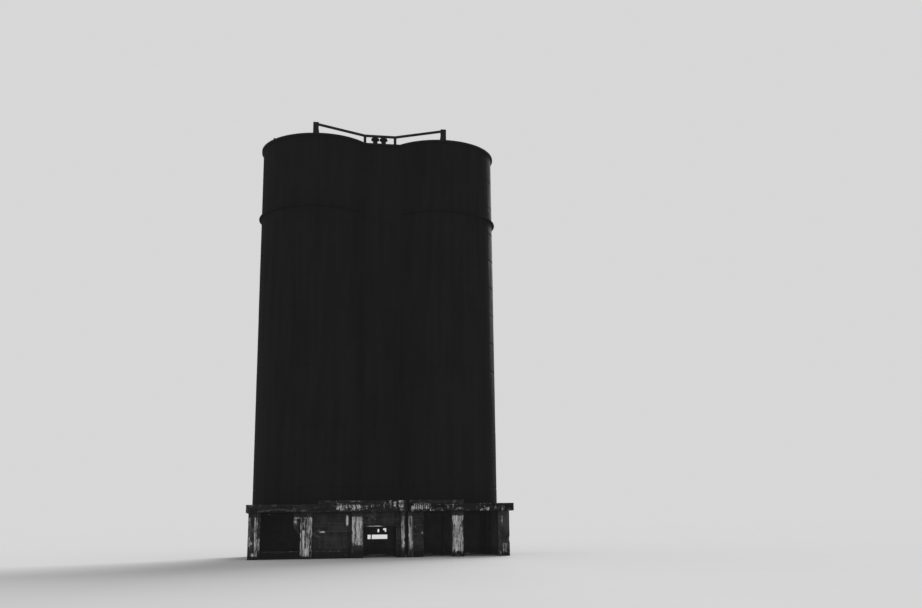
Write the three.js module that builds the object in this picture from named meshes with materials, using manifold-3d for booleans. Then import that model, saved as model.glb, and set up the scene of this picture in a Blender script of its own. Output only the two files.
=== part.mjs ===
// Twin cylinder concrete silo on a weathered pier table.
// Millimetres, +Z up, front towards -Y, origin on the ground below the middle of the table.
import * as THREE from 'three';
import Module from 'manifold-3d';
import { mergeVertices } from 'three/addons/utils/BufferGeometryUtils.js';

const wasm = await Module();
wasm.setup();

// Bins: two cylinders side by side, joined by flat pocket walls at front and rear
const OUTER_RADIUS = 4570;
const AXIS_OFFSET = 4870;
const SHELL_WALL = 180;
const SHELL_TOP = 32220;
const POCKET_FACE = 3050;
const ROUND_STEPS = 72;
const SEAT_GAP = 0.3;

// Roof slab and the ledge that runs around each bin
const ROOF_THICK = 150;
const EAVE = 148;
const LEDGE_TOP = 26550;
const LEDGE_OUT = 212;
const LEDGE_THICK = 90;
const LEDGE_GAP_STEPS = 9;

// Pier table: a thick deck in two lengths that meet at a joint
const TABLE_HALF_LENGTH = 9730;
const TABLE_HALF_DEPTH = 5060;
const DECK_UNDERSIDE = 3260;
const DECK_TOP = 3830;
const JOINT_X = 1840;
const JOINT_WIDTH = 220;
const JOINT_SLOT_DEPTH = 420;
const CURB_HEIGHT = 250;
const CURB_THICK = 350;
const CURB_ENDS = [-4670, 5975];

// Piers: three rows of six, the fourth one split by the joint
const PIER_SIDE = 850;
const JOINT_PIER = 4;
const JOINT_PIER_LEFT = [1340, 1660];
const JOINT_PIER_RIGHT = [1870, 2270];
const PIER_SETBACK = 250;
const PIER_X = [-9115, -5460, -1790, JOINT_X, 5540, 9000];

// Walls and plinths between the piers
const WALL_THICK = 200;
const WALL_SETBACK = 300;
const PLINTH_TOP = 550;
const PLINTH_PROUD = 80;
const PASSAGE_RIGHT = 1040;
const PASSAGE_HEAD = 2210;
const STUB_LENGTH = 800;
const REMNANT_WIDTH = 470;
const REMNANT_SHOULDER = 1000;
const REMNANT_DEPTH = 1650;
const REAR_OPENINGS = [
  { left: -360, right: -110, sill: 1240, head: 1570 },
  { left: -20, right: 1240, sill: 1240, head: 1570 },
  { left: 440, right: 580, sill: 1780, head: 2010 },
  { left: 900, right: 1150, sill: 1930, head: 2070 },
  { left: 1030, right: 1150, sill: 1800, head: 1930 },
];

// Guard rail and mushroom vents on the roof
const RAIL_END_X = [-5360, 4780];
const RAIL_END = { y: -4270, width: 430, depth: 260, height: 1020, flare: 70, flareHeight: 500 };
const RAIL_POST_X = [-1400, 1035];
const RAIL_POST = { y: -2960, side: 210 };
const RAIL_HEIGHT = { ends: 860, middle: 680 };
const RAIL_DEPTH = 180;
const RAIL_WIDTH = 150;
const VENT_X = [-530, 155];
const VENT_Y = -2500;
const VENT_STEPS = 24;
const VENT_STEM_RADIUS = 190;
const VENT_CAP_RADIUS = 330;
const VENT_CAP_FOOT = 465;
const VENT_CAP_EDGE = [515, 635];
const VENT_HEIGHT = 820;
const LUG_ANGLE = 216;
const LUG_SIZE = 150;

const STEP_ANGLE = 2 * Math.PI / ROUND_STEPS;
const ROOF_TOP = SHELL_TOP + ROOF_THICK;
const PIER_HALF = PIER_SIDE / 2;
const PIER_ROW_Y = TABLE_HALF_DEPTH - PIER_SETBACK - PIER_HALF;
const WALL_FACE_Y = TABLE_HALF_DEPTH - PIER_SETBACK - WALL_SETBACK;
const REAR_WALL_Y = PIER_ROW_Y - PIER_HALF;

const tarredConcrete = new THREE.MeshStandardMaterial({ color: 0x1b1b1b, roughness: 0.9, metalness: 0 });
const pierConcrete = new THREE.MeshStandardMaterial({ color: 0x8d8a84, roughness: 0.95, metalness: 0 });
const deckConcrete = new THREE.MeshStandardMaterial({ color: 0x5e5b57, roughness: 0.95, metalness: 0 });
const wallConcrete = new THREE.MeshStandardMaterial({ color: 0x3c3a38, roughness: 0.95, metalness: 0 });
const darkSteel = new THREE.MeshStandardMaterial({ color: 0x161616, roughness: 0.6, metalness: 0.8 });

const silo = new THREE.Group();

function add(name, geometry, material) {
  const mesh = new THREE.Mesh(geometry, material);
  mesh.name = name;
  silo.add(mesh);
}

// A block between two opposite corners
function block(low, high) {
  const size = high.map((value, axis) => value - low[axis]);
  const middle = high.map((value, axis) => (value + low[axis]) / 2);
  return new THREE.BoxGeometry(...size).translate(...middle);
}

// A plan outline raised from one height to another
function raised(points, bottom, top) {
  const outline = new THREE.Shape(points.map(([x, y]) => new THREE.Vector2(x, y)));
  const settings = { depth: top - bottom, bevelEnabled: false };
  return new THREE.ExtrudeGeometry(outline, settings).translate(0, 0, bottom);
}

// A front view outline given thickness from one depth to another
function upright(points, nearY, farY) {
  return raised(points, 0, farY - nearY).rotateX(Math.PI / 2).translate(0, farY, 0);
}

// A straight sided bar of equal width and depth whose middle line goes through the given places
function bentBar(line, width, depth) {
  const corners = [[-1, -1], [1, -1], [1, 1], [-1, 1]];
  const points = line.flatMap(([x, y, z]) => corners.map(([far, up]) => [
    x, y + far * width / 2, z + up * depth / 2,
  ]));
  const last = points.length - 4;
  const faces = [0, 3, 2, 0, 2, 1, last, last + 1, last + 2, last, last + 2, last + 3];
  for (let first = 0; first < last; first += 4) {
    for (let side = 0; side < 4; side += 1) {
      const near = first + side;
      const far = first + (side + 1) % 4;
      faces.push(near, far, far + 4, near, far + 4, near + 4);
    }
  }
  const geometry = new THREE.BufferGeometry();
  geometry.setAttribute('position', new THREE.BufferAttribute(Float32Array.from(points.flat()), 3));
  return geometry.setIndex(faces);
}

// An upright drum whose facets line up with those of the shells
function drum(radius, x, bottom, top) {
  return new THREE.CylinderGeometry(radius, radius, top - bottom, ROUND_STEPS)
    .rotateX(Math.PI / 2)
    .translate(x, 0, (bottom + top) / 2);
}

function toSolid(geometry) {
  const bare = geometry.clone();
  bare.deleteAttribute('normal');
  bare.deleteAttribute('uv');
  const merged = mergeVertices(bare);
  return new wasm.Manifold(new wasm.Mesh({
    numProp: 3,
    vertProperties: Float32Array.from(merged.attributes.position.array),
    triVerts: Uint32Array.from(merged.index.array),
  }));
}

function toGeometry(solid) {
  const { vertProperties, triVerts } = solid.getMesh();
  const geometry = new THREE.BufferGeometry();
  geometry.setAttribute('position', new THREE.BufferAttribute(vertProperties, 3));
  geometry.setIndex(new THREE.BufferAttribute(triVerts, 1));
  return geometry;
}

// Piers and deck

function jointHalves() {
  return [
    { suffix: '_left', from: JOINT_PIER_LEFT[0], to: JOINT_PIER_LEFT[1] },
    { suffix: '_right', from: JOINT_PIER_RIGHT[0], to: JOINT_PIER_RIGHT[1] },
  ];
}

function addPiers() {
  const rows = { front: -PIER_ROW_Y, middle: 0, rear: PIER_ROW_Y };
  for (const [row, y] of Object.entries(rows)) {
    PIER_X.forEach((x, index) => {
      const whole = [{ suffix: '', from: x - PIER_HALF, to: x + PIER_HALF }];
      const lengths = index + 1 === JOINT_PIER ? jointHalves() : whole;
      for (const { suffix, from, to } of lengths) {
        const pier = block([from, y - PIER_HALF, 0], [to, y + PIER_HALF, DECK_UNDERSIDE]);
        add(`pier_${row}_${index + 1}${suffix}`, pier, pierConcrete);
      }
    });
  }
}

// The two slabs meet below the bins, with an open slot where the joint reaches each long edge
function addDeck() {
  const slotHalf = JOINT_WIDTH / 2;
  const slotEnd = TABLE_HALF_DEPTH - JOINT_SLOT_DEPTH;
  for (const [name, side] of [['left', -1], ['right', 1]]) {
    const outline = [
      [side * TABLE_HALF_LENGTH, -TABLE_HALF_DEPTH],
      [JOINT_X + side * slotHalf, -TABLE_HALF_DEPTH],
      [JOINT_X + side * slotHalf, -slotEnd],
      [JOINT_X, -slotEnd],
      [JOINT_X, slotEnd],
      [JOINT_X + side * slotHalf, slotEnd],
      [JOINT_X + side * slotHalf, TABLE_HALF_DEPTH],
      [side * TABLE_HALF_LENGTH, TABLE_HALF_DEPTH],
    ];
    add(`deck_${name}`, raised(outline, DECK_UNDERSIDE, DECK_TOP), deckConcrete);
  }
  const curbs = {
    left: [CURB_ENDS[0], JOINT_X - slotHalf],
    right: [JOINT_X + slotHalf, CURB_ENDS[1]],
  };
  for (const [name, [from, to]] of Object.entries(curbs)) {
    const low = [from, -TABLE_HALF_DEPTH, DECK_TOP];
    const high = [to, CURB_THICK - TABLE_HALF_DEPTH, DECK_TOP + CURB_HEIGHT];
    add(`deck_curb_${name}`, block(low, high), deckConcrete);
  }
}

// Walls between the piers

// The left (-1) or right (+1) face of a numbered pier
function pierFace(number, side) {
  if (number === JOINT_PIER) {
    return side < 0 ? JOINT_PIER_LEFT[0] : JOINT_PIER_RIGHT[1];
  }
  return PIER_X[number - 1] + side * PIER_HALF;
}

function addFrontPanel(name, fromX, toX, bottom, top) {
  const panel = block([fromX, -WALL_FACE_Y, bottom], [toX, WALL_THICK - WALL_FACE_Y, top]);
  add(name, panel, wallConcrete);
}

function addPlinth(name, fromX, toX) {
  const low = [fromX, -WALL_FACE_Y - PLINTH_PROUD, 0];
  add(name, block(low, [toX, WALL_THICK - WALL_FACE_Y, PLINTH_TOP]), wallConcrete);
}

function addFrontWalls() {
  const bay3 = [pierFace(3, 1), pierFace(4, -1)];
  const stub = [pierFace(4, 1), pierFace(4, 1) + STUB_LENGTH];
  addPlinth('plinth_bay_1', pierFace(1, 1), pierFace(2, -1));
  addPlinth('plinth_bay_2', pierFace(2, 1), pierFace(3, -1));
  addPlinth('plinth_bay_4', ...stub);
  addFrontPanel('wall_bay_2', pierFace(2, 1), pierFace(3, -1), PLINTH_TOP, DECK_UNDERSIDE);
  addFrontPanel('lintel_bay_3', ...bay3, PASSAGE_HEAD, DECK_UNDERSIDE);
  addFrontPanel('jamb_bay_3', PASSAGE_RIGHT, bay3[1], 0, PASSAGE_HEAD);
  addFrontPanel('stub_wall_bay_4', ...stub, PLINTH_TOP, DECK_UNDERSIDE);
}

// The broken corner of an old wall, left between the deck and the second pier
function addRemnant() {
  const right = pierFace(2, -1);
  const left = right - REMNANT_WIDTH;
  const outline = [
    [right, DECK_UNDERSIDE],
    [left, DECK_UNDERSIDE],
    [left, DECK_UNDERSIDE - REMNANT_SHOULDER],
    [right, DECK_UNDERSIDE - REMNANT_DEPTH],
  ];
  add('wall_remnant_bay_1', upright(outline, -WALL_FACE_Y, WALL_THICK - WALL_FACE_Y), wallConcrete);
}

function addEndWalls() {
  const leftFace = pierFace(1, -1) + WALL_SETBACK;
  const rightFace = pierFace(6, 1) - WALL_SETBACK;
  const ends = { left: [leftFace, leftFace + WALL_THICK], right: [rightFace - WALL_THICK, rightFace] };
  const bays = { front: [-REAR_WALL_Y, -PIER_HALF], rear: [PIER_HALF, REAR_WALL_Y] };
  for (const [end, [fromX, toX]] of Object.entries(ends)) {
    for (const [bay, [fromY, toY]] of Object.entries(bays)) {
      add(`end_wall_${end}_${bay}`, block([fromX, fromY, 0], [toX, toY, DECK_UNDERSIDE]), wallConcrete);
    }
  }
}

// The two lengths meet behind the joint, and broken openings let light through the left one
function addRearWall() {
  const nearY = REAR_WALL_Y - WALL_THICK;
  const leftEnd = pierFace(1, -1) + WALL_SETBACK + WALL_THICK;
  const rightEnd = pierFace(6, 1) - WALL_SETBACK - WALL_THICK;
  let wall = toSolid(block([leftEnd, nearY, 0], [JOINT_X, REAR_WALL_Y, DECK_UNDERSIDE]));
  for (const { left, right, sill, head } of REAR_OPENINGS) {
    const hole = block([left, nearY - WALL_THICK, sill], [right, REAR_WALL_Y + WALL_THICK, head]);
    wall = wall.subtract(toSolid(hole));
  }
  add('rear_wall_left', toGeometry(wall), wallConcrete);
  const plain = block([JOINT_X, nearY, 0], [rightEnd, REAR_WALL_Y, DECK_UNDERSIDE]);
  add('rear_wall_right', plain, wallConcrete);
}

// Bins

function addShells() {
  const inner = OUTER_RADIUS - SHELL_WALL;
  const profile = [
    [inner, DECK_TOP],
    [OUTER_RADIUS, DECK_TOP],
    [OUTER_RADIUS, SHELL_TOP],
    [inner, SHELL_TOP],
    [inner, DECK_TOP],
  ].map(([radius, height]) => new THREE.Vector2(radius, height));
  for (const [name, side] of [['left', -1], ['right', 1]]) {
    const shell = new THREE.LatheGeometry(profile, ROUND_STEPS)
      .rotateX(Math.PI / 2)
      .translate(side * AXIS_OFFSET, 0, 0);
    add(`shell_${name}`, shell, tarredConcrete);
  }
}

function addPocketWalls() {
  const reach = AXIS_OFFSET - Math.sqrt(OUTER_RADIUS ** 2 - POCKET_FACE ** 2) + SHELL_WALL / 2;
  const depths = { front: -POCKET_FACE, rear: POCKET_FACE - SHELL_WALL };
  for (const [name, y] of Object.entries(depths)) {
    let wall = toSolid(block([-reach, y, DECK_TOP], [reach, y + SHELL_WALL, SHELL_TOP]));
    for (const x of [-AXIS_OFFSET, AXIS_OFFSET]) {
      const bin = drum(OUTER_RADIUS + SEAT_GAP, x, DECK_TOP - SHELL_WALL, SHELL_TOP + SHELL_WALL);
      wall = wall.subtract(toSolid(bin));
    }
    add(`pocket_wall_${name}`, toGeometry(wall), tarredConcrete);
  }
}

// Each ledge follows its shell and stops beside the pocket walls
function addLedges() {
  for (const [name, side] of [['left', -1], ['right', 1]]) {
    const ring = [];
    const arc = (radius, step) => {
      const angle = step * STEP_ANGLE;
      return [side * (AXIS_OFFSET - radius * Math.cos(angle)), radius * Math.sin(angle)];
    };
    for (let step = LEDGE_GAP_STEPS; step <= ROUND_STEPS - LEDGE_GAP_STEPS; step += 1) {
      ring.push(arc(OUTER_RADIUS + SEAT_GAP, step));
    }
    for (let step = ROUND_STEPS - LEDGE_GAP_STEPS; step >= LEDGE_GAP_STEPS; step -= 1) {
      ring.push(arc(OUTER_RADIUS + LEDGE_OUT, step));
    }
    add(`ledge_${name}`, raised(ring, LEDGE_TOP - LEDGE_THICK, LEDGE_TOP), tarredConcrete);
  }
}

// Roof

function addRoof() {
  const half = POCKET_FACE + EAVE;
  let slab = toSolid(block([-AXIS_OFFSET, -half, SHELL_TOP], [AXIS_OFFSET, half, ROOF_TOP]));
  for (const x of [-AXIS_OFFSET, AXIS_OFFSET]) {
    slab = slab.add(toSolid(drum(OUTER_RADIUS + EAVE, x, SHELL_TOP, ROOF_TOP)));
  }
  add('roof_slab', toGeometry(slab), tarredConcrete);
  const angle = THREE.MathUtils.degToRad(LUG_ANGLE);
  const reach = OUTER_RADIUS + EAVE - LUG_SIZE;
  const lug = new THREE.BoxGeometry(LUG_SIZE, LUG_SIZE, LUG_SIZE)
    .rotateZ(angle)
    .translate(reach * Math.cos(angle) - AXIS_OFFSET, reach * Math.sin(angle), ROOF_TOP + LUG_SIZE / 2);
  add('rim_lug', lug, darkSteel);
}

function addRailEnds() {
  const { y, width, depth, height, flare, flareHeight } = RAIL_END;
  for (const [name, side, x] of [['left', -1, RAIL_END_X[0]], ['right', 1, RAIL_END_X[1]]]) {
    const outline = [[width / 2, 0], [width / 2, height], [-width / 2, height], [-width / 2, flareHeight],
      [-width / 2 - flare, 0]];
    const placed = outline.map(([along, up]) => [x + side * along, ROOF_TOP + up]);
    add(`rail_end_${name}`, upright(placed, y - depth / 2, y + depth / 2), darkSteel);
  }
}

// One bent rail dips from its ends to two slim posts in the middle
function addRail() {
  const high = ROOF_TOP + RAIL_HEIGHT.ends;
  const low = ROOF_TOP + RAIL_HEIGHT.middle;
  const line = [
    [RAIL_END_X[0] + RAIL_END.width / 2, RAIL_END.y, high],
    [RAIL_POST_X[0], RAIL_POST.y, low],
    [RAIL_POST_X[1], RAIL_POST.y, low],
    [RAIL_END_X[1] - RAIL_END.width / 2, RAIL_END.y, high],
  ];
  add('guard_rail', bentBar(line, RAIL_WIDTH, RAIL_DEPTH), darkSteel);
  const half = RAIL_POST.side / 2;
  for (const [name, [x, y]] of [['left', line[1]], ['right', line[2]]]) {
    const post = block([x - half, y - half, ROOF_TOP], [x + half, y + half, low - RAIL_DEPTH / 2]);
    add(`rail_post_${name}`, post, darkSteel);
  }
}

function addVents() {
  const profile = [
    [0, 0],
    [VENT_STEM_RADIUS, 0],
    [VENT_STEM_RADIUS, VENT_CAP_FOOT],
    [VENT_CAP_RADIUS, VENT_CAP_EDGE[0]],
    [VENT_CAP_RADIUS, VENT_CAP_EDGE[1]],
    [VENT_CAP_RADIUS * 0.7, VENT_HEIGHT - 40],
    [0, VENT_HEIGHT],
  ].map(([radius, height]) => new THREE.Vector2(radius, height));
  for (const [name, x] of [['left', VENT_X[0]], ['right', VENT_X[1]]]) {
    const vent = new THREE.LatheGeometry(profile, VENT_STEPS)
      .rotateX(Math.PI / 2)
      .translate(x, VENT_Y, ROOF_TOP);
    add(`vent_${name}`, vent, darkSteel);
  }
}

addPiers();
addDeck();
addFrontWalls();
addRemnant();
addEndWalls();
addRearWall();
addShells();
addPocketWalls();
addLedges();
addRoof();
addRailEnds();
addRail();
addVents();

export default silo;
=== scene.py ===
import math
from itertools import product

import bpy
import numpy as np
from mathutils import Matrix, Vector, noise


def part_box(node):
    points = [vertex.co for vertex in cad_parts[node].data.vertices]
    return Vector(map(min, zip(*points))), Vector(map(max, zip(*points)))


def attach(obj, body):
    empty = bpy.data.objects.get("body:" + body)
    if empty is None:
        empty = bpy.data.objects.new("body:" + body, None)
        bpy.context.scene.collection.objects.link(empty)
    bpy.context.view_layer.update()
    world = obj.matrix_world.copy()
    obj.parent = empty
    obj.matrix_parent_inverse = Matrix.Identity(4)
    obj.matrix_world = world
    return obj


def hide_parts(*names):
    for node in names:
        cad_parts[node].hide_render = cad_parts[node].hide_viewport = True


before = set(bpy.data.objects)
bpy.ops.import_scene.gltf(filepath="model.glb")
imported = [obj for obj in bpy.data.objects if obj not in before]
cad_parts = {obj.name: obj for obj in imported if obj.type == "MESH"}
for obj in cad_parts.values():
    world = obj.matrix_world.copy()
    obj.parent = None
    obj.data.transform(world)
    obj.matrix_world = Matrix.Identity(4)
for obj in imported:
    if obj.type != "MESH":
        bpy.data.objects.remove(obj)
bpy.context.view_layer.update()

# Camera. It stands at eye height, well back and a little to the left, and looks up at the silo
# with a long lens. The trace of shift keeps the foot of the table in the frame.
PHOTO_WIDTH = 922
EYE = Vector((-7.057, -76.97, 2.2))
TURN_RIGHT = 0.1785
LOOK_UP = 0.2128
ROLL = -0.0119
FOCAL_PIXELS = 975.0
SENSOR = 36.0
SHIFT = 0.012
FAR_CLIP = 2000


def new_object(name, data):
    made = bpy.data.objects.new(name, data)
    bpy.context.scene.collection.objects.link(made)
    return made


level = Vector((math.sin(TURN_RIGHT), math.cos(TURN_RIGHT), 0))
forward = level * math.cos(LOOK_UP) + Vector((0, 0, math.sin(LOOK_UP)))
flat_right = Vector((math.cos(TURN_RIGHT), -math.sin(TURN_RIGHT), 0))
flat_up = flat_right.cross(forward)
right = flat_right * math.cos(ROLL) + flat_up * math.sin(ROLL)
up = right.cross(forward)
lens = bpy.data.cameras.new("camera")
lens.sensor_width = SENSOR
lens.lens = FOCAL_PIXELS / PHOTO_WIDTH * SENSOR
lens.shift_y = SHIFT
lens.clip_end = FAR_CLIP
camera = new_object("camera", lens)
camera.matrix_world = Matrix.Translation(EYE) @ Matrix((right, up, -forward)).transposed().to_4x4()
bpy.context.scene.camera = camera

# Light. A pale, even surround, and one broad soft light high behind the right end, so that the
# front stays dark and only the right hand edge of the silo catches it.
SURROUND = 0.68
LIGHT_AZIMUTH = math.radians(60)
LIGHT_HEIGHT = math.radians(32)
LIGHT_STRENGTH = 4.0
LIGHT_SOFTNESS = math.radians(40)
BLACK_LIFT = 0.007

view = bpy.context.scene.view_settings
view.view_transform = "Standard"
view.use_curve_mapping = True
view.curve_mapping.black_level = (-BLACK_LIFT, -BLACK_LIFT, -BLACK_LIFT)
view.curve_mapping.update()
surround = bpy.data.worlds.new("surround")
surround.use_nodes = True
backdrop = surround.node_tree.nodes["Background"]
backdrop.inputs["Color"].default_value = (SURROUND, SURROUND, SURROUND, 1)
bpy.context.scene.world = surround
reach = math.cos(LIGHT_HEIGHT)
to_light = Vector((reach * math.cos(LIGHT_AZIMUTH), reach * math.sin(LIGHT_AZIMUTH),
                   math.sin(LIGHT_HEIGHT)))
lamp = bpy.data.lights.new("soft_light", "SUN")
lamp.energy = LIGHT_STRENGTH
lamp.angle = LIGHT_SOFTNESS
soft_light = new_object("soft_light", lamp)
soft_light.rotation_euler = to_light.to_track_quat("Z", "Y").to_euler()

# Floor. A plain pale studio floor of matt paint, wide enough to reach the horizon. It is the stage
# and no part of the silo.
FLOOR_REACH = 900
FLOOR_TONES = (0.49, 0.51)


class Wire:
    """A socket in a node tree. Arithmetic on wires adds Math nodes."""

    def __init__(self, tree, socket=None):
        self.tree = tree
        self.socket = socket

    def node(self, kind, sockets=None, out=0, **settings):
        """Add a node, set it up, fill its sockets with values or wires, and return one output."""
        made = self.tree.nodes.new(kind)
        for name, value in settings.items():
            setattr(made, name, value)
        for name, value in (sockets or {}).items():
            if isinstance(value, Wire):
                self.tree.links.new(value.socket, made.inputs[name])
            else:
                made.inputs[name].default_value = value
        return Wire(self.tree, made.outputs[out] if made.outputs else None)

    def maths(self, operation, *values):
        return self.node("ShaderNodeMath", dict(enumerate(values)), operation=operation)

    def __add__(self, other):
        return self.maths("ADD", self, other)

    def __sub__(self, other):
        return self.maths("SUBTRACT", self, other)

    def __rsub__(self, other):
        return self.maths("SUBTRACT", other, self)

    def __mul__(self, other):
        return self.maths("MULTIPLY", self, other)

    def __truediv__(self, other):
        return self.maths("DIVIDE", self, other)

    __radd__ = __add__
    __rmul__ = __mul__

    def fade(self, low, high):
        """0 below low, 1 above high, and a soft step between them."""
        span = {"Value": self, "From Min": low, "From Max": high}
        return self.node("ShaderNodeMapRange", span, interpolation_type="SMOOTHSTEP")

    def pebbles(self, scale):
        """How far it is from the middle of the nearest pebble."""
        return self.node("ShaderNodeTexVoronoi", {"Vector": self, "Scale": scale}, out="Distance")

    def stretched(self, *factors):
        return self.node("ShaderNodeVectorMath", {0: self, 1: factors}, operation="MULTIPLY")

    def clouds(self, scale, detail=4.0, roughness=0.55, distortion=0.0):
        """Noise from 0 to 1 at this place."""
        sockets = {"Vector": self, "Scale": scale, "Detail": detail, "Roughness": roughness,
                   "Distortion": distortion}
        return self.node("ShaderNodeTexNoise", sockets)

    def off_whole(self):
        """How far it is from the nearest whole number."""
        rest = self - self.maths("ROUND", self)
        return self.maths("ABSOLUTE", rest)

    def axis(self, number):
        return self.node("ShaderNodeSeparateXYZ", {0: self}, out=number)


def blend(mask, under, over):
    """A colour that changes from under to over as the mask rises."""
    sides = {"Factor": mask}
    for slot, side in ((6, under), (7, over)):
        sides[slot] = side if isinstance(side, Wire) else (side, side, side, 1)
    return mask.node("ShaderNodeMix", sides, out=2, data_type="RGBA")


def open_finish(name):
    """A new material, and a wire that holds a place on the object."""
    material = bpy.data.materials.new(name)
    material.use_nodes = True
    material.node_tree.nodes.clear()
    place = Wire(material.node_tree).node("ShaderNodeTexCoord", out="Object")
    return material, place


def close_finish(place, colour, roughness, relief, depth, shine):
    """End a material: relief runs from 0 to 1 and is depth metres high."""
    bump = place.node("ShaderNodeBump", {"Height": relief, "Distance": depth})
    shader = place.node("ShaderNodeBsdfPrincipled", {"Base Color": colour, "Roughness": roughness,
                                                     "Normal": bump, "Specular IOR Level": shine})
    place.node("ShaderNodeOutputMaterial", {"Surface": shader})


floor_paint, place = open_finish("floor_paint")
close_finish(place, blend(place.clouds(0.15), *FLOOR_TONES), 1.0, place.clouds(30), 0.001, 0.0)
floor_mesh = bpy.data.meshes.new("floor")
rim = [(x * FLOOR_REACH, y * FLOOR_REACH, 0) for x, y in ((-1, -1), (1, -1), (1, 1), (-1, 1))]
floor_mesh.from_pydata(rim, [], [(0, 1, 2, 3)])
floor_mesh.materials.append(floor_paint)
floor = new_object("floor", floor_mesh)

# Piers. Square columns of poured concrete in three rows of six, cast between upright boards. The
# fourth of each row is two half columns, one under each slab. Whitewash is left on them in streaks.
ROWS = ("front", "middle", "rear")
PIERS = ("1", "2", "3", "4_left", "4_right", "5", "6")
# The wash stops short of the deck, so the head of each pier stays dark: bare concrete, and painted shade
# under the deck edge.
WASH_HEAD = 2.99
# How much whitewash is left on each pier, and the strokes of it on the long sides: left and right
# end from the pier's left edge, foot, head, strength.
BASE_WASH = {"1": 0.3, "2": 0.46, "3": 0.49, "4_left": 0.38, "4_right": 0.3, "5": 0.61, "6": 0.27}
STROKES = {
    "1": [(0.0, 0.14, 0.8, 3.2, 0.7), (0.22, 0.36, 0.95, 1.3, 0.85), (0.22, 0.36, 0.08, 0.6, 0.9),
          (0.37, 0.45, 1.95, 2.3, 0.95), (0.37, 0.45, 0.08, 0.6, 0.9), (0.45, 0.52, 0.1, 3.1, 0.8),
          (0.52, 0.66, 0.65, 1.6, 0.8), (0.52, 0.66, 0.1, 3.1, 0.58), (0.74, 0.84, 0.45, 1.6, 0.85),
          (0.74, 0.84, 1.6, 3.1, 0.56)],
    "2": [(0.0, 0.07, 0.2, 3.2, 0.74), (0.15, 0.22, 2.28, 2.63, 0.9), (0.15, 0.3, 0.05, 2.14, 1.0),
          (0.3, 0.37, 0.2, 3.1, 0.74), (0.37, 0.45, 0.05, 0.9, 0.9), (0.45, 0.6, 0.05, 1.65, 1.0),
          (0.45, 0.6, 1.65, 3.1, 0.64), (0.67, 0.74, 1.93, 3.1, 0.9), (0.74, 0.82, 1.24, 3.1, 0.88),
          (0.82, 0.88, 0.9, 2.3, 0.68)],
    "3": [(0.0, 0.15, 0.95, 3.2, 0.85), (0.15, 0.22, 0.95, 3.2, 1.0), (0.3, 0.37, 1.55, 2.25, 1.0),
          (0.3, 0.74, 0.78, 3.2, 0.8)],
    "4_left": [(0.0, 0.27, 0.6, 3.2, 0.72), (0.19, 0.27, 0.85, 1.85, 1.0)],
    "4_right": [(0.0, 0.06, 0.45, 3.2, 0.4), (0.07, 0.28, 0.45, 3.2, 0.7),
                (0.28, 0.36, 0.5, 3.2, 0.5)],
    "5": [(0.0, 0.8, 2.2, 3.2, 0.92), (0.0, 0.26, 0.35, 2.3, 0.74), (0.26, 0.78, 0.28, 2.3, 0.86),
          (0.26, 0.4, 1.73, 2.6, 1.0), (0.33, 0.6, 0.62, 1.5, 1.0), (0.7, 0.78, 0.4, 1.14, 1.0)],
    "6": [(0.18, 0.42, 1.9, 3.1, 0.36), (0.32, 0.58, 0.19, 1.1, 0.6), (0.17, 0.25, 0.02, 0.36, 0.85)],
}
WASH_FOOT = {"1": 0.1, "2": 0.1, "3": 0.8, "4_left": 0.5, "4_right": 0.4, "5": 0.3, "6": 0.1}
INNER_WASH = 0.15
STROKE_FADE = 0.2
STROKE_SPREAD = 1.9
FOOT_FADE = (-0.12, 0.13)
HEAD_FADE = 0.06
STREAK_REACH = 0.09
PIER_GRID = 0.075
STROKE_GRID = 0.035
ARRIS_STEPS = (0.012, 0.035, 0.075)
LEAST_STEP = 0.02
ROUGHNESS = ((1.7, 1), (6.1, 0.5), (17, 0.3))
HOLLOW_FROM = 0.55
HOLLOW_MOST = 0.12
BOARD_WIDTH = 0.14
SEAM_LINE = (0.03, 0.1)
DAMP_HEIGHT = (0.5, 1.1)
PIER_TONES = (0.015, 0.05)
WASH_TONES = (0.1, 0.8)
BREAK_TONE = 0.2


def grid_lines(*stops, spacing):
    """Grid lines through the stops, closer together beside the first and the last."""
    kept = list(stops)
    kept += [stops[0] + step for step in ARRIS_STEPS]
    kept += [stops[-1] - step for step in ARRIS_STEPS]
    for low, high in zip(stops, stops[1:]):
        count = math.ceil((high - low) / spacing)
        for line in np.linspace(low, high, count, endpoint=False):
            if min(abs(line - other) for other in kept) > LEAST_STEP:
                kept.append(line)
    return np.array(sorted(kept))


def block_lines(low, high, *spacings):
    """Grid lines of a plain block along its three axes."""
    return [grid_lines(*ends, spacing=spacing) for *ends, spacing in zip(low, high, spacings)]


def corners(node):
    """The lowest and the highest corner of a CAD node."""
    low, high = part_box(node)
    return np.array(low), np.array(high)


def block_skin(lines, hollows=()):
    """Points, outward signs and outward faces of a block on grid lines, less its hollows."""
    filled = np.ones([len(line) - 1 for line in lines], bool)
    middles = [(line[1:] + line[:-1]) / 2 for line in lines]
    for low, high in hollows:
        filled[np.ix_(*[(m > a) & (m < b) for m, a, b in zip(middles, low, high)])] = False
    shape = [len(line) for line in lines]
    number = np.arange(np.prod(shape)).reshape(shape)
    outward = np.zeros((number.size, 3))
    quads = []
    padded = np.pad(filled, 1)
    for axis in range(3):
        along, across = np.eye(3, dtype=int)[[(axis + 1) % 3, (axis + 2) % 3]]
        for side in (0, 1):
            beyond = np.roll(padded, 1 - 2 * side, axis)[1:-1, 1:-1, 1:-1]
            cells = np.argwhere(filled & ~beyond)
            cells[:, axis] += side
            ring = [cells, cells + along, cells + along + across, cells + across]
            faces = np.stack([number[tuple(corner.T)] for corner in ring], 1)
            quads.append(faces if side else faces[:, ::-1])
            outward[np.unique(faces), axis] += 2 * side - 1
    quads = np.concatenate(quads)
    used, quads = np.unique(quads, return_inverse=True)
    points = np.stack(np.meshgrid(*lines, indexing="ij"), -1).reshape(-1, 3)[used]
    return points, outward[used], quads.reshape(-1, 4)


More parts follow.
